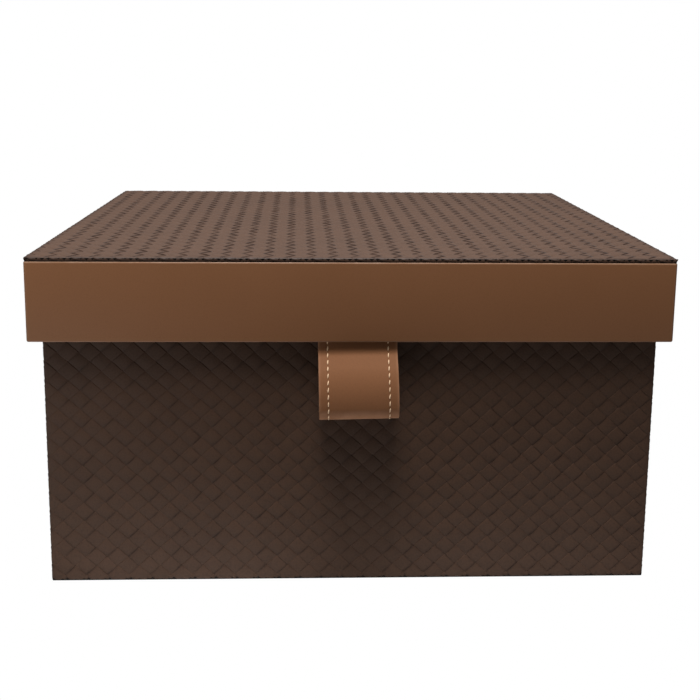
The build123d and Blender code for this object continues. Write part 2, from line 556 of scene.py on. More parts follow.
@dataclass
class FoldPath:
    """A line of straight runs with round bends, followed by its length from the first point."""

    corners: Sequence[Point2]
    bend: float

    def __post_init__(self) -> None:
        """Work out the straight runs and the bends between them."""
        self.stretches: list[Stretch] = []
        points = [np.array(corner, float) for corner in self.corners]
        start = points[0]
        for before, here, after in zip(points, points[1:], points[2:]):
            along, ahead = unit(here - before), unit(after - here)
            turn = float(np.arctan2(along[0] * ahead[1] - along[1] * ahead[0], along @ ahead))
            cut = self.bend * np.tan(abs(turn) / 2)
            end = here - along * cut
            self.stretches.append(Stretch(float(np.linalg.norm(end - start)), start, along))
            self.stretches.append(Stretch(self.bend * abs(turn), end, along, turn))
            start = here + ahead * cut
        last = points[-1] - start
        self.stretches.append(Stretch(float(np.linalg.norm(last)), start, unit(last)))
        self.length = sum(stretch.length for stretch in self.stretches)

    def ends(self) -> list[float]:
        """The lengths at which each run and bend ends."""
        return list(np.cumsum([stretch.length for stretch in self.stretches]))

    def at(self, distance: float) -> tuple[np.ndarray, np.ndarray]:
        """The point and the left-hand normal at a length along the line.

        Args:
            distance: Length from the first point, which may lie before it or past the last one.

        Returns:
            The point and the unit normal, to the left of the way forward.
        """
        rest = distance
        for stretch in self.stretches[:-1]:
            if rest <= stretch.length:
                break
            rest -= stretch.length
        else:
            stretch = self.stretches[-1]
        normal = np.array((-stretch.along[1], stretch.along[0]))
        if not stretch.turn:
            return stretch.start + stretch.along * rest, normal
        way = np.sign(stretch.turn)
        angle = way * rest / self.bend
        centre = stretch.start + normal * self.bend * way
        turned = np.array(((cos(angle), -sin(angle)), (sin(angle), cos(angle)))) @ normal
        return centre - turned * self.bend * way, turned

    def follow(self, distances: np.ndarray) -> tuple[np.ndarray, np.ndarray]:
        """Points and normals at many lengths along the line."""
        found = [self.at(float(distance)) for distance in distances]
        return np.array([point for point, _ in found]), np.array([normal for _, normal in found])


@dataclass(frozen=True)
class PaintedShadeLines:
    """Painted shade along each side of a pad that rises to the right: how dark each side's line is, and how
    narrow the dark is.
    """

    upper_left: float
    upper_right: float
    lower_left: float
    lower_right: float
    narrowness: float


@dataclass
class WovenSheet:
    """Diagonal plain weave as a flat sheet of domed leather pads, made with geometry nodes.

    A pad runs from -1 to 1 along its strip and across it. It falls by the dip at its ends, rounds off toward
    its sides and drops by the wall at the very sides. The hole narrows it at two corners, where the ground
    shows.
    """

    finish: Finish
    shade_lines: PaintedShadeLines
    cell_width: float
    cell_height: float
    dip: float
    edge_round: float
    edge_power: float
    edge_wall: float
    hole: float
    tilt: float
    dip_power: float = 3.0
    overlap: float = 0.12
    turn: float = 0.02
    fold_relief: float = 0.08
    fold_reach: float = 3.0 * MM
    seed: int = 7
    tree: Optional[bpy.types.NodeTree] = None

    pad_rows: ClassVar[tuple[int, int]] = (7, 9)
    side_crowding: ClassVar[float] = 3.3
    hole_start: ClassVar[float] = 0.35
    hole_corner: ClassVar[Point2] = (0.1, 0.9)
    wall_start: ClassVar[float] = 0.9
    tone_seed_step: ClassVar[float] = 11.0

    def inputs(self) -> Inputs:
        """The tree's named inputs.

        Returns:
            Each input's socket type and value, by its name.
        """
        sizes = {
            "Cell Width": self.cell_width, "Cell Height": self.cell_height, "Overlap": self.overlap,
            "Dip": self.dip, "Dip Power": self.dip_power, "Edge Round": self.edge_round,
            "Edge Power": self.edge_power, "Edge Wall": self.edge_wall, "Hole": self.hole,
        }
        counts = {"Columns": None, "Rows": None, "Seed": self.seed}
        return {
            **{name: ("NodeSocketFloat", size) for name, size in sizes.items()},
            **{name: ("NodeSocketInt", count) for name, count in counts.items()},
            "Material": ("NodeSocketMaterial", None),
        }

    def pad(self, build: NodeBuilder, given: dict[str, Socket], rising: bool) -> Socket:
        """One pad: a strip's stretch over its neighbour, on a grid that is finer near its edges.

        Args:
            build: The tree's builder.
            given: The group's inputs.
            rising: Whether the strip rises to the right.

        Returns:
            The pad's geometry.
        """
        columns, rows = self.pad_rows
        flat = {"Size X": 2.0, "Size Y": 2.0, "Vertices X": columns, "Vertices Y": rows}
        grid = build.output("GeometryNodeMeshGrid", flat)
        x, y, _ = build.split(build.output("GeometryNodeInputPosition"))
        along = build.maths("SINE", build.times(x, pi / 2))
        outwards = build.maths("ABSOLUTE", y)
        eased = build.minus(1.0, build.power(build.minus(1.0, outwards), self.side_crowding))
        across = build.times(build.maths("SIGN", y), eased)
        near_end = build.step(build.maths("ABSOLUTE", along), self.hole_start, 1.0)
        at_hole = build.step(build.times(build.times(along, across), -1.0), *self.hole_corner)
        width = build.minus(1.0, build.times(given["Hole"], build.times(near_end, at_hole)))
        side = build.times(across, width)
        reach = build.times(along, build.add(1.0, given["Overlap"]))
        fall = build.times(build.power(build.maths("ABSOLUTE", reach), given["Dip Power"]), given["Dip"])
        rounding = build.times(build.power(eased, given["Edge Power"]), given["Edge Round"])
        wall = build.times(build.maths("GREATER_THAN", outwards, self.wall_start), given["Edge Wall"])
        height = build.times(build.add(build.add(fall, rounding), wall), -1.0)
        up, down = (reach, build.times(side, -1.0)) if rising else (side, reach)
        quarter_cell = [build.times(given[name], 0.25) for name in ("Cell Width", "Cell Height")]
        place = build.vector(
            build.times(build.add(up, down), quarter_cell[0]),
            build.times(build.minus(up, down), quarter_cell[1]),
            height,
        )
        # The pad's painted shade is stored as its share of the edge colour.
        marked = build.keep(grid, EDGE_SHADING_AND_WEAR, self.pad_shade(build, along, across, rising), "POINT")
        return build.output("GeometryNodeSetPosition", {"Geometry": marked, "Position": place})

    def pad_shade(self, build: NodeBuilder, along: Socket, across: Socket, rising: bool) -> Socket:
        """How much painted shade a pad takes toward its sides and ends, where two pads that meet are dark
        alike.

        Args:
            build: The tree's builder.
            along: Place along the strip.
            across: Place across the strip.
            rising: Whether the strip rises to the right.

        Returns:
            The darkness.
        """
        shade_lines = self.shade_lines
        if rising:
            sides, ends = (shade_lines.upper_left, shade_lines.lower_right), (shade_lines.upper_right, shade_lines.lower_left)
        else:
            sides, ends = (shade_lines.lower_left, shade_lines.upper_right), (shade_lines.upper_left, shade_lines.lower_right)
        return build.maths(
            "MAXIMUM", self.shade_line(build, across, sides), self.shade_line(build, along, ends)
        )

    def shade_line(self, build: NodeBuilder, place: Socket, levels: Point2) -> Socket:
        """Painted shade toward the two ends of a way across a pad.

        Args:
            build: The tree's builder.
            place: The way, from -1 to 1.
            levels: How dark it is at 1, and then at -1.

        Returns:
            The darkness.
        """
        far = build.maths("GREATER_THAN", place, 0.0)
        level = build.add(build.times(far, levels[0] - levels[1]), levels[1])
        return build.times(build.power(build.maths("ABSOLUTE", place), self.shade_lines.narrowness), level)

    def field_of(self, build: NodeBuilder, given: dict[str, Socket], rising: bool) -> Socket:
        """Pads of one kind on their lattice, each with its own slight tilt and tone.

        Args:
            build: The tree's builder.
            given: The group's inputs.
            rising: Whether the pads rise to the right.

        Returns:
            The pads, as instances.
        """
        lattice = {"Vertices X": given["Columns"], "Vertices Y": given["Rows"]}
        for size, count, cell in (("Size X", "Columns", "Cell Width"), ("Size Y", "Rows", "Cell Height")):
            lattice[size] = build.times(build.minus(given[count], 1.0), given[cell])
        spread = build.output("GeometryNodeMeshGrid", lattice)
        most = (self.tilt, self.tilt, self.turn)
        angles = {0: tuple(-angle for angle in most), 1: most, "Seed": given["Seed"]}
        tilt = build.output("FunctionNodeRandomValue", angles, data_type="FLOAT_VECTOR")
        pads = {"Points": spread, "Instance": self.pad(build, given, rising), "Rotation": tilt}
        placed = build.output("GeometryNodeInstanceOnPoints", pads)
        tone_seed = {"Seed": build.add(given["Seed"], self.tone_seed_step)}
        tone = build.node("FunctionNodeRandomValue", tone_seed, data_type="FLOAT").outputs[1]
        toned = build.keep(placed, TONE, tone, "INSTANCE")
        if rising:
            return toned
        half_cell = [build.times(given[name], 0.5) for name in ("Cell Width", "Cell Height")]
        moved = {"Geometry": toned, "Translation": build.vector(*half_cell, 0.0)}
        return build.output("GeometryNodeTransform", moved)

    def build_tree(self) -> bpy.types.NodeTree:
        """Build the weave's tree once.

        Returns:
            The geometry node tree.
        """
        if self.tree:
            return self.tree
        self.tree = new_tree("woven_sheet", self.inputs())
        build = NodeBuilder(self.tree)
        entry = build.node("NodeGroupInput")
        given = {name: entry.outputs[name] for name in self.inputs()}
        join = build.node("GeometryNodeJoinGeometry")
        for rising in (True, False):
            build.feed(join.inputs[0], self.field_of(build, given, rising))
        build.hand_out(join.outputs[0], given["Material"])
        return self.tree

    def make(self, name: str, reach: Point2, shift: Point2) -> bpy.types.Mesh:
        """A flat woven mesh in the XY plane, facing +Z.

        Args:
            name: The mesh's name.
            reach: How far it has to reach from its middle, to the sides and up and down.
            shift: Where the middle of the lattice goes.

        Returns:
            A plain mesh with the weave's material.
        """
        cells = (self.cell_width, self.cell_height)
        columns, rows = (2 * ceil(far / cell) + SPARE_CELLS for far, cell in zip(reach, cells))
        values = {"Columns": columns, "Rows": rows, "Material": self.finish.material()}
        mesh = grow(name, bpy.data.meshes.new(f"{name}_start"), self.build_tree(), values)
        mesh.transform(Matrix.Translation((*shift, 0)))
        return mesh

    def settle(self, points: np.ndarray, distances: Sequence[np.ndarray]) -> None:
        """Press the weave flatter near folds, where the leather is drawn tight.

        Args:
            points: The flat sheet's points, changed in place.
            distances: Distance of each point from each fold.
        """
        nearest = np.min(np.abs(np.array(distances)), axis=0)
        points[:, 2] *= 1 - (1 - self.fold_relief) * np.exp(-(nearest / self.fold_reach) ** 2)


def cut_away(shape: bmesh.types.BMesh, point: Point2, outward: Point2) -> None:
    """Cut off what lies beyond a line of a flat sheet.

    Args:
        shape: The sheet, changed in place.
        point: A point of the line.
        outward: The way from the line to what is cut off.
    """
    bmesh.ops.bisect_plane(
        shape, geom=shape.verts[:] + shape.edges[:] + shape.faces[:], plane_co=(*point, 0),
        plane_no=(*outward, 0), clear_outer=True, dist=CUT_TOLERANCE,
    )


def read_points(mesh: bpy.types.Mesh) -> np.ndarray:
    """A mesh's points.

    Args:
        mesh: The mesh.

    Returns:
        Rows of x, y and z.
    """
    points = np.empty(len(mesh.vertices) * 3)
    mesh.vertices.foreach_get("co", points)
    return points.reshape(-1, 3)


def write_points(mesh: bpy.types.Mesh, points: np.ndarray) -> None:
    """Put a mesh's points at these places."""
    mesh.vertices.foreach_set("co", points.astype(np.float32).ravel())
    mesh.update()


def mark_edges(mesh: bpy.types.Mesh, amounts: Sequence[float]) -> None:
    """Store how much of its finish's edge colour each point of a mesh takes, from 0 to 1; on the tan leather
    this is rubbing mixed with painted light.
    """
    layer = mesh.attributes.new(EDGE_SHADING_AND_WEAR, "FLOAT", "POINT")
    layer.data.foreach_set("value", np.array(amounts, np.float32))


def darken(mesh: bpy.types.Mesh, amounts: np.ndarray) -> None:
    """Raise a woven mesh's stored edge amounts wherever they are fainter.

    Args:
        mesh: The woven mesh.
        amounts: The least mark for each point, from 0 to 1.
    """
    layer = mesh.attributes[EDGE_SHADING_AND_WEAR]
    known = np.empty(len(mesh.vertices), np.float32)
    layer.data.foreach_get("value", known)
    layer.data.foreach_set("value", np.maximum(known, amounts).astype(np.float32))


def turn_outwards(mesh: bpy.types.Mesh) -> None:
    """Make a closed mesh's faces point outwards.

    Args:
        mesh: The mesh, changed in place.
    """
    shape = bmesh.new()
    shape.from_mesh(mesh)
    bmesh.ops.recalc_face_normals(shape, faces=shape.faces[:])
    shape.to_mesh(mesh)
    shape.free()


def band_faces(rows: int, columns: int, closed: bool) -> list[tuple[int, ...]]:
    """The faces between rows of points that each go all the way round.

    Args:
        rows: How many rows there are.
        columns: Points in each row.
        closed: Whether the last row joins the first.

    Returns:
        The numbers of each face's four points.
    """
    faces = []
    for row in range(rows if closed else rows - 1):
        here, beyond = row * columns, (row + 1) % rows * columns
        for column in range(columns):
            after = (column + 1) % columns
            faces.append((here + column, here + after, beyond + after, beyond + column))
    return faces


def ring_mesh(
    name: str, half: Point2, corner: float, profile: Sequence[OutlinePoint],
    corner_wear: float = 0.0, tightening: float = 1.0, steps: int = 6,
) -> bpy.types.Mesh:
    """A closed profile swept round a rectangle with rounded corners.

    Args:
        name: The mesh's name.
        half: Half the width and half the depth where the profile's first number is 0.
        corner: Corner radius there.
        profile: Points of outward distance, height and share of edge colour, which on the skirt's top fold is
            partly a painted highlight.
        corner_wear: Wear at the middle of each corner.
        tightening: How much the corner radius falls for each unit inwards.
        steps: Edges in each corner's arc.

    Returns:
        The mesh, closed, with its faces outwards.
    """
    points: list[Point3] = []
    wear_and_light: list[float] = []
    for out, height, edge_share in profile:
        radius = max(corner + tightening * out, SMALLEST_RADIUS)
        for quarter, (side_x, side_y) in enumerate(((1, 1), (-1, 1), (-1, -1), (1, -1))):
            for step in range(steps + 1):
                share = step / steps
                angle = (quarter + share) * pi / 2
                x = side_x * (half[0] + out - radius) + radius * cos(angle)
                y = side_y * (half[1] + out - radius) + radius * sin(angle)
                points.append((x, y, height))
                wear_and_light.append(max(edge_share, corner_wear * hump(share)))
    mesh = mesh_from(name, points, band_faces(len(profile), 4 * (steps + 1), closed=True))
    turn_outwards(mesh)
    mark_edges(mesh, wear_and_light)
    return mesh


def rounded_outline(
    corners: Sequence[Point2], bend: float, wear_and_light: Sequence[float] = (), steps: int = 4
) -> list[OutlinePoint]:
    """A closed outline through corners that are rounded by one radius.

    Args:
        corners: The sharp corners, in order.
        bend: The radius, made smaller where a side is short.
        wear_and_light: How much edge colour the first corners take, rubbing mixed with painted highlight,
            with none on the rest.
        steps: Edges in each rounded corner.

    Returns:
        The outline's points, each with its wear.
    """
    found: list[OutlinePoint] = []
    count = len(corners)
    for index in range(count):
        before, here, after = (np.array(corners[(index + move) % count], float) for move in (-1, 0, 1))
        back, ahead = before - here, after - here
        reach = min(bend, ROUNDED_SHARE * np.linalg.norm(back), ROUNDED_SHARE * np.linalg.norm(ahead))
        start, end = here + unit(back) * reach, here + unit(ahead) * reach
        edge_share = wear_and_light[index] if index < len(wear_and_light) else 0.0
        for step in range(steps + 1):
            share = step / steps
            point = start * (1 - share) ** 2 + here * 2 * share * (1 - share) + end * share ** 2
            found.append((float(point[0]), float(point[1]), edge_share * hump(share)))
    return found


def soft_slab(name: str, low: Vector, high: Vector) -> bpy.types.Object:
    """A covered card panel: a slab whose edges are rolled over.

    Args:
        name: The object's name.
        low: Its lowest corner.
        high: Its highest corner.

    Returns:
        The object, with its bevel left live.
    """
    shape = bmesh.new()
    bmesh.ops.create_cube(shape, size=1.0)
    middle, size = (low + high) / 2, high - low
    for vert in shape.verts:
        vert.co = Vector(middle[axis] + vert.co[axis] * size[axis] for axis in range(3))
    mesh = bpy.data.meshes.new(name)
    shape.to_mesh(mesh)
    shape.free()
    made = new_object(name, mesh)
    bevel = made.modifiers.new("rolled_edges", "BEVEL")
    bevel.width = min(PANEL_ROUNDING, ROUNDED_SHARE * min(size))
    bevel.segments = 3
    return made


@dataclass
class BoxBody:
    """The open box: woven wrap on four sides, boards, linings and felt underside.

    The dark ground lies at ground_depth under the weave, and comes up to fold_depth over the length of
    fold_slope before each fold. Its corners are rounder than the weave's by corner_ease, and their radius
    falls by corner_tightening for each unit inwards. The pad_height is how high the weave's lowest whole pads
    have their middles.
    """

    weave: WovenSheet
    corner: float = 2.0 * MM
    fold: float = 1.6 * MM
    ground_depth: float = 0.95 * MM
    fold_depth: float = 0.25 * MM
    fold_slope: float = 4.5 * MM
    corner_ease: float = 0.15 * MM
    corner_tightening: float = 2.5
    pad_height: float = 9.8 * MM
    body: str = "box_body"

    def __post_init__(self) -> None:
        """Read the wrap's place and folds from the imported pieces."""
        self.low, self.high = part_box("woven_body_wrap")
        wall_low, wall_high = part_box("left_wall_board")
        self.leather = wall_low.x - self.low.x
        self.rim_width = wall_high.x - wall_low.x + 2 * self.leather
        self.turn_in = self.high.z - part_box("left_wall_lining")[1].z
        self.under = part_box("underside_cover")[0].x - self.low.x
        self.half = (self.high.x, self.high.y)
        top, rim = self.high.z, -self.rim_width
        side_view = [(-self.under, 0.0), (0.0, 0.0), (0.0, top), (rim, top), (rim, top - self.turn_in)]
        self.path = FoldPath(side_view, self.fold)

    def mitre(self, half: float) -> float:
        """How far a flat side sheet reaches from its middle to the middle of its corner's arc."""
        return half - self.corner * (1 - pi / 4)

    def side_sheet(self, name: str, half: float, start: float) -> bpy.types.Mesh:
        """One side's woven sheet, cut flat with mitred ends.

        Args:
            name: The mesh's name.
            half: Half the side's length.
            start: Length round the box from the front's middle to this side's middle.

        Returns:
            The flat sheet: x along the side from its middle, y along the wrap's line, z outwards.
        """
        cell, row = self.weave.cell_width, self.weave.cell_height
        length, ends = self.path.length, self.path.ends()
        face_start, face_end, rim_end = ends[1], ends[2], (ends[4] + ends[5]) / 2
        first = self.pad_height + face_start - self.fold
        middle = first + round((length / 2 - first) / row) * row
        nearest = (round(start / cell - 0.5) + 0.5) * cell - start
        mesh = self.weave.make(name, (half, length / 2), (nearest, middle))
        flaps, inside = bmesh.new(), bmesh.new()
        for shape in (flaps, inside):
            shape.from_mesh(mesh)
        for side in (-1, 1):
            reach = side * self.mitre(half)
            cut_away(flaps, (reach, 0), (side, 0))
            cut_away(flaps, (reach, face_start), (side, -1))
            cut_away(flaps, (reach, face_end), (side, 1))
            cut_away(inside, (side * (half - self.rim_width), 0), (side, 0))
        cut_away(flaps, (0, 0), (0, -1))
        cut_away(flaps, (0, rim_end), (0, 1))
        cut_away(inside, (0, rim_end), (0, -1))
        cut_away(inside, (0, length), (0, 1))
        spare = bpy.data.meshes.new(f"{name}_inside")
        inside.to_mesh(spare)
        flaps.from_mesh(spare)
        flaps.to_mesh(mesh)
        bpy.data.meshes.remove(spare)
        for shape in (flaps, inside):
            shape.free()
        return mesh

    def fold_round(self, mesh: bpy.types.Mesh, half: float, face: float, turn: Matrix) -> None:
        """Fold a flat side sheet onto the box.

        Args:
            mesh: The flat sheet.
            half: Half the side's length.
            face: Distance of the side's face from the box's middle.
            turn: Turns the front's place to this side's.
        """
        flat = read_points(mesh)
        ends = self.path.ends()
        folds = [flat[:, 1] - (ends[bend - 1] + ends[bend]) / 2 for bend in range(1, len(ends), 2)]
        self.weave.settle(flat, folds + [self.mitre(half) - np.abs(flat[:, 0])])
        spots, normals = self.path.follow(flat[:, 1])
        out = spots[:, 0] - normals[:, 0] * flat[:, 2]
        height = spots[:, 1] - normals[:, 1] * flat[:, 2]
        straight = half - self.corner
        past = np.clip(np.abs(flat[:, 0]) - straight, 0, None)
        angle = past / self.corner
        radius = np.clip(self.corner + out, 0, None)
        x = np.where(past > 0, np.sign(flat[:, 0]) * (straight + radius * np.sin(angle)), flat[:, 0])
        y = np.where(past > 0, -(face - self.corner + radius * np.cos(angle)), -(face + out))
        write_points(mesh, np.stack([x, y, height], 1) @ np.array(turn.to_3x3()).T)

    def make_wrap(self) -> None:
        """Build the woven wrap side by side, going round from the front to the right."""
        for quarter, side in enumerate(("front", "right", "back", "left")):
            half, face = self.half[quarter % 2], self.half[1 - quarter % 2]
            mesh = self.side_sheet(f"woven_{side}", half, quarter * (self.half[0] + self.half[1]))
            self.fold_round(mesh, half, face, Matrix.Rotation(radians(90 * quarter), 4, "Z"))
            stand_in(new_object(f"woven_{side}", mesh), self.weave.finish, self.body, "woven_body_wrap")

    def make_ground(self) -> None:
        """Build the dark ground, a sheet of painted shade that shows between the woven strips."""
        sink, near, slope, top = self.ground_depth, self.fold_depth, self.fold_slope, self.high.z
        rim, under, leather, inside = self.rim_width, self.under, self.leather, top - self.turn_in
        outline = [
            (-sink, slope), (-sink, top - slope), (-near, top - self.fold), (-near, top - near),
            (-rim + near, top - near), (-rim + near, top - self.fold), (-rim + sink, top - slope),
            (-rim + sink, inside), (-rim + leather, inside), (-rim + leather, top - leather),
            (-leather, top - leather), (-leather, leather), (-under, leather), (-under, sink),
            (-slope, sink), (-self.fold, near), (-near, near), (-near, self.fold),
        ]
        profile = rounded_outline(outline, self.fold - near)
        corner = self.corner + self.corner_ease
        mesh = ring_mesh("woven_gap_shade", self.half, corner, profile, tightening=self.corner_tightening)
        stand_in(new_object("woven_gap_shade", mesh), GAP_SHADE, self.body, "woven_body_wrap")

    def make_linings(self) -> None:
        """Build the covered card linings and the felt underneath."""
        for name in [f"{side}_wall_lining" for side in SIDES] + ["base_lining", "underside_cover"]:
            finish = FELT if name == "underside_cover" else LINING
            stand_in(soft_slab(f"{name}_panel", *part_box(name)), finish, self.body, name)

    def dress_boards(self) -> None:
        """Give the hidden boards their finish."""
        for name in ["base_board"] + [f"{side}_wall_board" for side in SIDES]:
            dress(frame["nodes"][name], FIBREBOARD, smooth=False)

    def make(self) -> None:
        """Build and dress the whole body."""
        self.make_wrap()
        self.make_ground()
        self.make_linings()
        self.dress_boards()


@dataclass
class Lid:
    """The lid: woven top panel, tan skirt leather, boards and lining.

    The slant moves the lattice sideways by a share of its place in depth. The dark hem fades out over its
    width from the top's edges, and is at full darkness in the outer third of it. The dark ground lies between
    ground_depth and ground_bottom, and stops ground_middle short of the lid's middle line.
    """

    weave: WovenSheet
    fold: float = 0.5 * MM
    tuck: float = 0.45 * MM
    lattice_shift: Point2 = (-5.2 * MM, 5.6 * MM)
    slant: float = 0.0175
    dark_hem: float = 3.6 * MM
    hem_darkness: float = 0.58
    hem_fullness: float = 1.5
    skirt_fold: float = 1.1 * MM
    skirt_corner: float = 1.6 * MM
    # Edge colour on the skirt's bottom and top folds: rubbing, and on the top fold partly a painted
    # highlight.
    skirt_wear_and_highlight: Point2 = (0.5, 0.9)
    skirt_corner_wear: float = 0.25
    ground_depth: float = 1.1 * MM
    ground_bottom: float = 1.65 * MM
    ground_fold: float = 0.25 * MM
    ground_middle: float = 1.0 * MM
    fold_depth: float = 0.3 * MM
    fold_slope: float = 4.0 * MM
    body: str = "lid"

    def __post_init__(self) -> None:
        """Read the lid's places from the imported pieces."""
        self.cover_low, self.cover_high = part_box("woven_top_cover")
        self.skirt_low, self.skirt_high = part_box("skirt_leather")
        self.board_low, self.board_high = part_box("lid_top_board")
        self.foam_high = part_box("top_foam_sheet")[1]
        self.lining_low, self.lining_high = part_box("lid_lining")
        self.half = (self.cover_high.x, self.cover_high.y)
        self.edge = self.cover_high.z - self.cover_low.z
        self.flat = [size - self.fold for size in self.half]
        self.arc = self.fold * pi / 2

    def cover_sheet(self) -> bpy.types.Mesh:
        """The top's woven sheet, cut flat, with a flap at each edge.

        Returns:
            The flat sheet.
        """
        flap = self.arc + self.edge - self.fold
        reach = (self.flat[0] + flap, self.flat[1] + flap)
        mesh = self.weave.make("woven_top", reach, self.lattice_shift)
        lean = Matrix.Identity(4)
        lean[0][1] = -self.slant
        mesh.transform(lean)
        shape = bmesh.new()
        shape.from_mesh(mesh)
        for side in (-1, 1):
            cut_away(shape, (side * reach[0], 0), (side, 0))
            cut_away(shape, (0, side * reach[1]), (0, side))
            for other in (-1, 1):
                cut_away(shape, (side * (self.flat[0] + self.arc), other * self.flat[1]), (side, other))
        shape.to_mesh(mesh)
        shape.free()
        return mesh

    def fold_down(self, mesh: bpy.types.Mesh) -> None:
        """Darken the cover's hem and fold its flaps down over the panel's edges.

        Args:
            mesh: The flat sheet.
        """
        points = read_points(mesh)
        inside = [self.flat[axis] - np.abs(points[:, axis]) for axis in (0, 1)]
        fade = 1 - np.min(inside, axis=0) / self.dark_hem
        darken(mesh, self.hem_darkness * np.clip(self.hem_fullness * fade, 0, 1))
        self.weave.settle(points, [gap + self.arc / 2 for gap in inside])
        drop = points[:, 2].copy()
        height = drop.copy()
        for axis in (0, 1):
            past = np.clip(np.abs(points[:, axis]) - self.flat[axis], 0, None)
            angle = np.clip(past / self.fold, 0, pi / 2)
            below = np.clip(past - self.arc, 0, None)
            radius = self.fold + drop
            tucked = self.tuck * (below / (self.edge - self.fold)) ** 2
            moved = self.flat[axis] + radius * np.sin(angle) - tucked
            points[:, axis] = np.where(past > 0, np.sign(points[:, axis]) * moved, points[:, axis])
            height = np.where(past > 0, radius * np.cos(angle) - self.fold - below, height)
        points[:, 2] = self.cover_high.z + height
        write_points(mesh, points)

    def make_top(self) -> None:
        """Build the woven cover of the top panel, folded down over its edges."""
        mesh = self.cover_sheet()
        self.fold_down(mesh)
        stand_in(new_object("woven_top", mesh), self.weave.finish, self.body, "woven_top_cover")

    def make_ground(self) -> None:
        """Build the dark ground of painted shade under the woven top, all but closed in the middle."""
        sink, near = self.ground_depth, self.fold_depth
        low, high = self.cover_low.z, self.cover_high.z
        reach, thick = min(self.half) - self.ground_middle, self.ground_bottom
        outline = [
            (-self.tuck - near, low), (-near, high - self.fold), (-near, high - near),
            (-self.fold_slope, high - sink), (-reach, high - sink), (-reach, high - thick),
            (-thick, high - thick), (-thick, low),
        ]
        profile = rounded_outline(outline, self.ground_fold)
        mesh = ring_mesh("woven_top_gap_shade", self.half, self.fold, profile)
        stand_in(new_object("woven_top_gap_shade", mesh), GAP_SHADE, self.body, "woven_top_cover")

    def make_skirt(self) -> None:
        """Build the tan leather, folded round the skirt's lower edge and over the lid board."""
        low, high = self.skirt_low.z, self.skirt_high.z
        leather = self.skirt_high.x - self.board_high.x
        inner = self.skirt_high.x - self.lining_high.x
        flange = self.skirt_high.x - self.foam_high.x
        outline = [
            (0.0, low), (0.0, high), (-flange, high), (-flange, self.board_high.z),
            (-leather, self.board_high.z), (-leather, low + leather), (-inner + leather, low + leather),
            (-inner + leather, self.board_low.z), (-inner, self.board_low.z), (-inner, low),
        ]
        profile = rounded_outline(outline, self.skirt_fold, wear_and_light=self.skirt_wear_and_highlight)
        half = (self.skirt_high.x, self.skirt_high.y)
        mesh = ring_mesh("skirt_cover", half, self.skirt_corner, profile, self.skirt_corner_wear)
        stand_in(new_object("skirt_cover", mesh), TAN, self.body, "skirt_leather")

    def make_lining(self) -> None:
        """Build the covered card under the lid's board."""
        piece = soft_slab("lid_lining_panel", self.lining_low, self.lining_high)
        stand_in(piece, LINING, self.body, "lid_lining")

    def dress_boards(self) -> None:
        """Give the hidden boards, card and foam their finishes."""
        for name in ["lid_top_board"] + [f"skirt_{side}_board" for side in SIDES]:
            dress(frame["nodes"][name], FIBREBOARD, smooth=False)
        dress(frame["nodes"]["top_panel_card"], CARD, smooth=False)
        dress(frame["nodes"]["top_foam_sheet"], FOAM, smooth=False)

    def make(self) -> None:
        """Build and dress the whole lid."""
        self.make_top()
        self.make_ground()
        self.make_skirt()
        self.make_lining()
        self.dress_boards()


def off_from(start: Point2, way: Point2, distance: float) -> Point2:
    """The point at a distance from another, along a way of length 1."""
    return (start[0] + distance * way[0], start[1] + distance * way[1])


@dataclass
class SideLine:
    """A line in side view, laid as stations: each a place, an outward normal and the length so far."""

    spacing: float
    stations: list[Station] = field(default_factory=list)
    length: float = 0.0

    def run(self, start: Point2, end: Point2, normal: Point2) -> None:
        """Lay a straight run, all but its last point.

        Args:
            start: Where it starts.
            end: Where it ends.
            normal: Its outward normal.
        """
        along = (end[0] - start[0], end[1] - start[1])
        length = hypot(*along)
        count = max(2, round(length / self.spacing))
        for step in range(count):
            share = step / count
            place = (start[0] + along[0] * share, start[1] + along[1] * share)
            self.stations.append((place, normal, self.length + length * share))
        self.length += length

    def bend(self, centre: Point2, radius: float, first: float, last: float, inward: bool = False) -> None:
        """Lay a round bend, all but its last point.

        Args:
            centre: Its centre.
            radius: Its radius.
            first: The angle where it starts.
            last: The angle where it ends.
            inward: Whether the strap's outer side is the one that faces the centre.
        """
        length = radius * abs(last - first)
        count = max(2, round(length / self.spacing))
        for step in range(count):
            angle = first + (last - first) * step / count
            way = (cos(angle), sin(angle))
            normal = (-way[0], -way[1]) if inward else way
            self.stations.append((off_from(centre, way, radius), normal, self.length + length * step / count))
        self.length += length


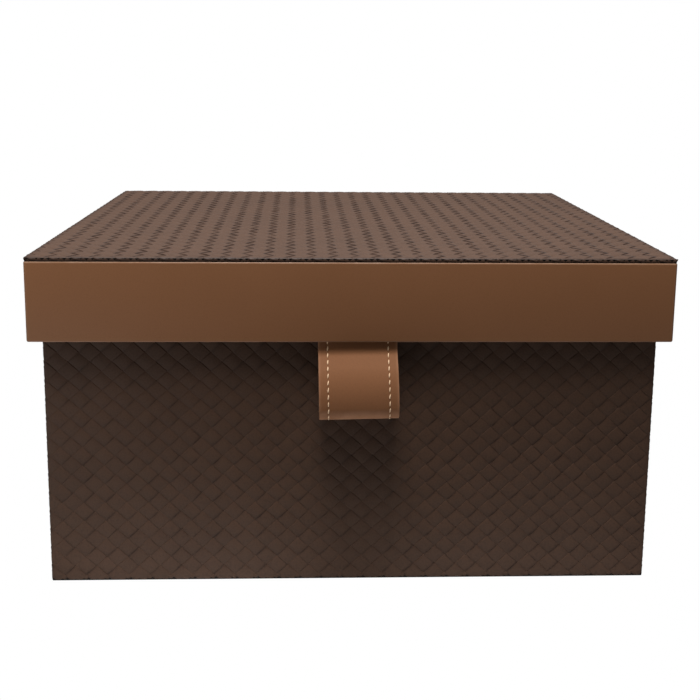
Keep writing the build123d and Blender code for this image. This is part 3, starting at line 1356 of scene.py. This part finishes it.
@dataclass
class PullLoop:
    """The folded strap that hangs from the skirt, with its two rows of stitches.

    In side view it falls behind, turns up in a round fold, rises in front, leans back over its shoulder and
    turns up into the skirt at its neck. It takes up its small turn askew over askew_run below the skirt.
    """

    ply: float = 0.75 * MM
    leaf_gap: float = 0.2 * MM
    fold_radius: float = 7.7 * MM
    neck_run: float = 2.0 * MM
    neck_radius: float = 8.0 * MM
    shoulder_radius: float = 36.0 * MM
    lean: float = radians(38)
    askew: float = radians(1.2)
    askew_run: float = 3.0 * MM
    spacing: float = 0.9 * MM
    edge_rounding: float = 0.55
    crown: float = 0.06 * MM
    groove_depth: float = 0.22 * MM
    groove_half: float = 1.1 * MM
    groove_margin: float = 1.2 * MM
    groove_marks: tuple[float, ...] = (-0.7 * MM, -0.35 * MM, 0.0, 0.35 * MM, 0.7 * MM)
    seam_rise: float = 0.12
    seam_depths: Point2 = (0.02 * MM, 0.16 * MM)
    edge_wear: float = 0.4
    rubbed_width: float = 1.8 * MM
    # Painted light from below: edge colour on the fold where it faces down, and how fast it grows.
    fold_underside_light: float = 0.38
    fold_underside_light_growth: float = 3.5
    stitch_inset: float = 5.5 * MM
    stitch_pitch: float = 4.07 * MM
    stitch_length: float = 2.9 * MM
    stitch_sink: float = 0.12 * MM
    stitch_tilt: float = radians(7)
    tilt_range: Point2 = (0.5, 1.5)
    thread_radius: float = 0.37 * MM
    thread_faces: int = 6
    row_start: float = 0.5 * MM
    bend_start: float = 0.3 * MM
    bend_end: float = 4.0 * MM
    seed: int = 3

    def __post_init__(self) -> None:
        """Read the strap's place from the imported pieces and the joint."""
        self.low, self.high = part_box("strap_face")
        self.tail_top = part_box("strap_face_tails")[1].z
        joint = next(joint for joint in frame["joints"] if joint["name"] == "loop_swing")
        self.hinge = Vector(joint["pos_m"])
        self.glue = self.leaf_gap / 2 + self.ply
        self.skirt_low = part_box("skirt_leather")[0].z
        self.middle = (self.low.x + self.high.x) / 2
        self.half = (self.high.x - self.low.x) / 2
        self.row = self.half - self.stitch_inset

    def line(self) -> list[Station]:
        """The glue line between the plies, from the back tail's top round to the front tail's top.

        Returns:
            Its stations, in lengths out to the front of the hinge line and down from it.
        """
        rise = self.tail_top - self.hinge.z
        fold_out = self.fold_radius - self.glue
        fold_down = self.hinge.z - self.low.z - self.fold_radius - self.ply
        front_out = fold_out + self.fold_radius
        bends = self.neck_radius + self.shoulder_radius
        slope = (front_out - self.glue - bends * (1 - cos(self.lean))) / sin(self.lean)
        shoulder_down = self.neck_run + bends * sin(self.lean) + slope * cos(self.lean)
        shoulder = (front_out - self.shoulder_radius, shoulder_down)
        neck = (self.glue + self.neck_radius, self.neck_run)
        way = (cos(self.lean), -sin(self.lean))
        slope_start = off_from(shoulder, way, self.shoulder_radius)
        slope_end = off_from(neck, way, -self.neck_radius)
        laid = SideLine(self.spacing)
        laid.run((-self.glue, -rise), (-self.glue, fold_down), (-1.0, 0.0))
        laid.bend((fold_out, fold_down), self.fold_radius, pi, 0.0)
        laid.run((front_out, fold_down), (front_out, shoulder_down), (1.0, 0.0))
        laid.bend(shoulder, self.shoulder_radius, 0.0, -self.lean)
        laid.run(slope_start, slope_end, way)
        laid.bend(neck, self.neck_radius, pi - self.lean, pi, inward=True)
        laid.run((self.glue, self.neck_run), (self.glue, -rise), (1.0, 0.0))
        laid.stations.append(((self.glue, -rise), (1.0, 0.0), laid.length))
        return laid.stations

    def hung(self, station: Station, across: float, off: float) -> Point3:
        """A point of the strap where it hangs, slightly askew below the skirt.

        Args:
            station: The station of the glue line.
            across: Distance from the strap's middle.
            off: Distance outwards from the glue line.

        Returns:
            The point.
        """
        (out, down), normal, _ = station
        y = self.hinge.y - (out + normal[0] * off)
        z = self.hinge.z - (down + normal[1] * off)
        fall = self.skirt_low - z
        if fall <= 0:
            return (self.middle + across, y, z)
        angle = self.askew * min(1.0, fall / self.askew_run)
        x = self.middle + across * cos(angle) + fall * sin(angle)
        return (x, y, self.skirt_low + across * sin(angle) - fall * cos(angle))

    def section(self) -> list[Point2]:
        """The strap's cross-section: across its width, and out from the glue line.

        Returns:
            Its points, all round.
        """
        rounding = self.edge_rounding * self.ply
        inner, outer = self.row - self.groove_margin, self.row + self.groove_margin
        across = [mark * inner for mark in (0.0, 0.25, 0.5, 0.75, 1.0)]
        across += [self.row + mark for mark in self.groove_marks]
        across += [outer + mark * (self.half - rounding - outer) for mark in (0.35, 0.7, 1.0)]
        face = [(place, self.ply - self.sunk(place)) for place in across]
        arc = [
            (self.half - rounding + rounding * sin(angle), self.ply - rounding + rounding * cos(angle))
            for angle in (pi / 6, pi / 3, pi / 2)
        ]
        shallow, deep = self.seam_depths
        seam = [(self.half - shallow, self.seam_rise * self.ply), (self.half - deep, 0.0)]
        quarter = face + arc + seam
        right = quarter + [(place, -out) for place, out in reversed(quarter[:-1])]
        return right + [(-place, out) for place, out in reversed(right[1:-1])]

    def sunk(self, place: float) -> float:
        """How far the leather is drawn in at a place across the strap, by its crown and its stitches."""
        pull = max(0.0, 1 - abs(abs(place) - self.row) / self.groove_half)
        return self.groove_depth * pull * pull + self.crown * (place / self.half) ** 2

    def worn(self, station: Station, across: float) -> float:
        """How much edge colour the strap takes at a station and a place across it: rubbing at its edges, and
        painted light from below under its fold.
        """
        edge = self.edge_wear * max(0.0, 1 - (self.half - abs(across)) / self.rubbed_width) ** 2
        return max(edge, self.fold_underside_light * min(1.0, self.fold_underside_light_growth * max(0.0, station[1][1])))

    def make_strap(self) -> bpy.types.Object:
        """Build the strap as one closed strip, with a surface map for its grain.

        Returns:
            The strap's object.
        """
        stations, section = self.line(), self.section()
        count = len(section)
        points, places, wear_and_light = [], [], []
        for station in stations:
            for across, off in section:
                points.append(self.hung(station, across, off))
                places.append((across + off, station[2]))
                wear_and_light.append(self.worn(station, across))
        faces = band_faces(len(stations), count, closed=False)
        faces.append(tuple(reversed(range(count))))
        faces.append(tuple(range(len(points) - count, len(points))))
        mesh = mesh_from("pull_strap", points, faces)
        turn_outwards(mesh)
        mark_edges(mesh, wear_and_light)
        layer = mesh.uv_layers.new(name=STRAP_MAP)
        for loop in mesh.loops:
            layer.data[loop.index].uv = places[loop.vertex_index]
        strap = new_object("pull_strap", mesh)
        dress(strap, STRAP)
        return strap

    def stitch_tree(self) -> bpy.types.NodeTree:
        """Build the tree that lays stitches end to end along a row.

        Returns:
            The geometry node tree.
        """
        tree = new_tree("stitch_row", {
            "Pitch": ("NodeSocketFloat", self.stitch_pitch),
            "Length": ("NodeSocketFloat", self.stitch_length),
            "Thread Radius": ("NodeSocketFloat", self.thread_radius),
            "Tilt": ("NodeSocketFloat", self.stitch_tilt),
            "Seed": ("NodeSocketInt", self.seed),
            "Material": ("NodeSocketMaterial", None),
        })
        build = NodeBuilder(tree)
        given = build.node("NodeGroupInput").outputs
        curve = build.output("GeometryNodeMeshToCurve", {"Mesh": given["Geometry"]})
        evenly = {"Curve": curve, "Length": given["Pitch"]}
        spots = build.output("GeometryNodeResampleCurve", evenly, mode="LENGTH")
        unit_ball = {"Segments": self.thread_faces, "Rings": self.thread_faces, "Radius": 0.5}
        ball = build.output("GeometryNodeMeshUVSphere", unit_ball)
        thickness = build.times(given["Thread Radius"], 2.0)
        size = build.vector(thickness, thickness, given["Length"])
        stitch = build.output("GeometryNodeTransform", {"Geometry": ball, "Scale": size})
        tangent = build.output("GeometryNodeInputTangent")
        facing = build.output("FunctionNodeAlignRotationToVector", {"Vector": tangent}, axis="Z")
        least, most = self.tilt_range
        chance = {2: least, 3: most, "Seed": given["Seed"]}
        lean = build.node("FunctionNodeRandomValue", chance, data_type="FLOAT").outputs[1]
        tilt = {"Axis": build.vector(0.0, 1.0, 0.0), "Angle": build.times(lean, given["Tilt"])}
        turn = build.output("FunctionNodeAxisAngleToRotation", tilt)
        both = build.output("FunctionNodeRotateRotation", {0: facing, 1: turn}, rotation_space="GLOBAL")
        rows = {"Points": spots, "Instance": stitch, "Rotation": both}
        build.hand_out(build.output("GeometryNodeInstanceOnPoints", rows), given["Material"])
        return tree

    def make_stitches(self) -> bpy.types.Object:
        """Build both stitch rows, on the outside and the inside of the strap.

        Returns:
            The stitches as one object.
        """
        shown = self.hinge.z - self.skirt_low - self.row_start
        stations = [station for station in self.line() if station[0][1] > shown]
        off = self.ply - self.stitch_sink
        points: list[Point3] = []
        edges: list[tuple[int, int]] = []
        for across in (-self.row, self.row):
            for side in (off, -off):
                edges += [(len(points) + step, len(points) + step + 1) for step in range(len(stations) - 1)]
                points += [self.hung(station, across, side) for station in stations]
        lines = bpy.data.meshes.new("stitch_lines")
        lines.from_pydata(points, edges, [])
        mesh = grow("strap_stitches", lines, self.stitch_tree(), {"Material": THREAD.material()})
        stitches = new_object("strap_stitches", mesh)
        dress(stitches, THREAD)
        return stitches

    def make(self) -> None:
        """Build the strap and its stitches, bending where the strap leaves the skirt."""
        strap, stitches = self.make_strap(), self.make_stitches()
        for piece in (strap, stitches):
            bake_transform(piece)
            report(piece)
        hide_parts("strap_face", "strap_backing", "strap_face_tails", "strap_backing_tails")


@dataclass(frozen=True)
class Lamp:
    """A square soft lamp that faces the box."""

    name: str
    place: Point3
    size: float
    power: float

    def make(self, aim: Vector) -> None:
        """Put the lamp in the scene.

        Args:
            aim: The point that it faces.
        """
        light = bpy.data.lights.new(self.name, "AREA")
        light.shape = "SQUARE"
        light.size = self.size
        light.energy = self.power
        made = new_object(self.name, light)
        made.location = self.place
        made.rotation_euler = (aim - Vector(self.place)).to_track_quat("-Z", "Y").to_euler()


@dataclass(frozen=True)
class BrightPatch:
    """A round patch of the white floor that throws light back at the box."""

    place: Point2
    inner: float
    outer: float
    strength: float

    def level(self, build: NodeBuilder, spot: Socket) -> Socket:
        """How bright the patch makes the floor at a spot: full inside, none beyond its outer radius.

        Args:
            build: The floor's builder.
            spot: The spot's coordinates.

        Returns:
            The brightness.
        """
        given = {0: spot, 1: (*self.place, 0)}
        away = build.node("ShaderNodeVectorMath", given, operation="DISTANCE").outputs["Value"]
        return build.times(build.minus(1.0, build.step(away, self.inner, self.outer)), self.strength)


@dataclass
class Studio:
    """A white floor and surround, soft lamps and the camera at the photograph's place."""

    lens: float = 48.905
    shift: Point2 = (0.0032, -0.1905)
    place: Point3 = (-0.02363, -0.68919, 0.31217)
    pitch: float = 0.155043
    yaw: float = -0.0361283
    roll: float = 0.0103833
    sensor: float = 36.0
    aim: Point3 = (0.0, -0.05, 0.12)
    floor_half: float = 6.0
    floor_gloss: float = 0.2
    surround_gloss: float = 0.42
    lamps: tuple[Lamp, ...] = (
        Lamp("front_left", place=(-0.12, -0.50, 1.5), size=0.5, power=6.5),
        Lamp("front_right", place=(0.1, -0.65, 1.5), size=0.5, power=6.8),
        Lamp("front_steep", place=(-0.08, -0.38, 1.5), size=0.4, power=40.6),
        Lamp("overhead", place=(0.0, 0.35, 1.5), size=0.6, power=19.7),
    )
    patches: tuple[BrightPatch, ...] = (
        BrightPatch(place=(-0.12, -0.17), inner=0.02, outer=0.13, strength=3.6),
        BrightPatch(place=(0.0, -0.17), inner=0.02, outer=0.13, strength=1.9),
        BrightPatch(place=(0.12, -0.17), inner=0.02, outer=0.13, strength=2.1),
        BrightPatch(place=(0.2, -0.24), inner=0.05, outer=0.22, strength=0.8),
        BrightPatch(place=(-0.38, -0.30), inner=0.05, outer=0.30, strength=6.0),
        BrightPatch(place=(0.38, -0.30), inner=0.05, outer=0.30, strength=1.3),
        BrightPatch(place=(0.0, 0.40), inner=0.05, outer=0.40, strength=3.0),
        BrightPatch(place=(0.48, 0.16), inner=0.05, outer=0.30, strength=4.0),
        BrightPatch(place=(-0.48, 0.16), inner=0.05, outer=0.30, strength=4.0),
    )

    def make_floor(self) -> None:
        """A wide floor, white to the camera, whose patches by the box light it from below."""
        half = self.floor_half
        corners = [(-half, -half, 0), (half, -half, 0), (half, half, 0), (-half, half, 0)]
        floor = new_object("floor", mesh_from("floor", corners, [(0, 1, 2, 3)]))
        material = bpy.data.materials.new("white_floor")
        material.use_nodes = True
        material.cycles.emission_sampling = "NONE"
        build = NodeBuilder(material.node_tree)
        rays = build.node("ShaderNodeLightPath").outputs
        spot = build.node("ShaderNodeTexCoord").outputs["Object"]
        bounce = 0.0
        for patch in self.patches:
            bounce = build.add(bounce, patch.level(build, spot))
        level = build.add(rays["Is Camera Ray"], build.times(rays["Is Diffuse Ray"], bounce))
        level = build.add(level, build.times(rays["Is Glossy Ray"], self.floor_gloss))
        glow = build.output("ShaderNodeEmission", {"Strength": level})
        build.feed(material.node_tree.nodes["Material Output"].inputs["Surface"], glow)
        floor.data.materials.append(material)

    def make_world(self) -> None:
        """A surround that is white to the camera, softer in gloss, and gives no other light."""
        world = bpy.data.worlds.new("studio")
        bpy.context.scene.world = world
        world.use_nodes = True
        world.cycles.sampling_method = "NONE"
        build = NodeBuilder(world.node_tree)
        rays = build.node("ShaderNodeLightPath").outputs
        seen = build.maths("MAXIMUM", rays["Is Camera Ray"], rays["Is Transmission Ray"])
        glint = build.times(rays["Is Glossy Ray"], self.surround_gloss)
        back = world.node_tree.nodes["Background"]
        back.inputs["Color"].default_value = (1, 1, 1, 1)
        build.feed(back.inputs["Strength"], build.add(seen, glint))

    def make_camera(self) -> None:
        """The camera, turned by the photograph's yaw, pitch and roll."""
        level = cos(self.pitch)
        ahead = Vector((-sin(self.yaw) * level, cos(self.yaw) * level, -sin(self.pitch)))
        right = Vector((cos(self.yaw), sin(self.yaw), 0))
        up = right.cross(ahead)
        turned_right = cos(self.roll) * right + sin(self.roll) * up
        turned_up = cos(self.roll) * up - sin(self.roll) * right
        data = bpy.data.cameras.new("camera")
        data.sensor_width = self.sensor
        data.lens = self.lens
        data.shift_x, data.shift_y = self.shift
        camera = new_object("camera", data)
        turn = Matrix((turned_right, turned_up, -ahead)).transposed().to_4x4()
        camera.matrix_world = Matrix.Translation(self.place) @ turn
        bpy.context.scene.camera = camera

    def make(self) -> None:
        """Set the stage, lamps, camera and colour handling."""
        self.make_floor()
        self.make_world()
        for lamp in self.lamps:
            lamp.make(Vector(self.aim))
        self.make_camera()
        bpy.context.scene.view_settings.view_transform = "Standard"


def main() -> None:
    """Build the box, piece by piece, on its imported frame."""
    body_sheet = WovenSheet(
        finish=WOVEN,
        # Painted shade on the body's pads, darkest along their lower edges.
        shade_lines=PaintedShadeLines(upper_left=0.04, upper_right=0.13, lower_left=0.25, lower_right=0.48, narrowness=6.0),
        cell_width=12.94 * MM, cell_height=11.77 * MM, dip=0.36 * MM, dip_power=2.3,
        edge_round=0.2 * MM, edge_power=2.0, edge_wall=0.1 * MM, hole=0.03, tilt=0.01,
    )
    lid_sheet = WovenSheet(
        finish=WOVEN_TOP,
        # Painted shade on the top's pads, only along the right-hand sides of the rising pads.
        shade_lines=PaintedShadeLines(upper_left=0.0, upper_right=0.9, lower_left=0.0, lower_right=1.0, narrowness=9.0),
        cell_width=12.6 * MM, cell_height=11.25 * MM, dip=0.45 * MM,
        edge_round=0.12 * MM, edge_power=5.0, edge_wall=0.55 * MM, hole=0.08, tilt=0.02,
    )
    BoxBody(body_sheet).make()
    Lid(lid_sheet).make()
    PullLoop().make()
    Studio().make()


if __name__ == "__main__":
    main()
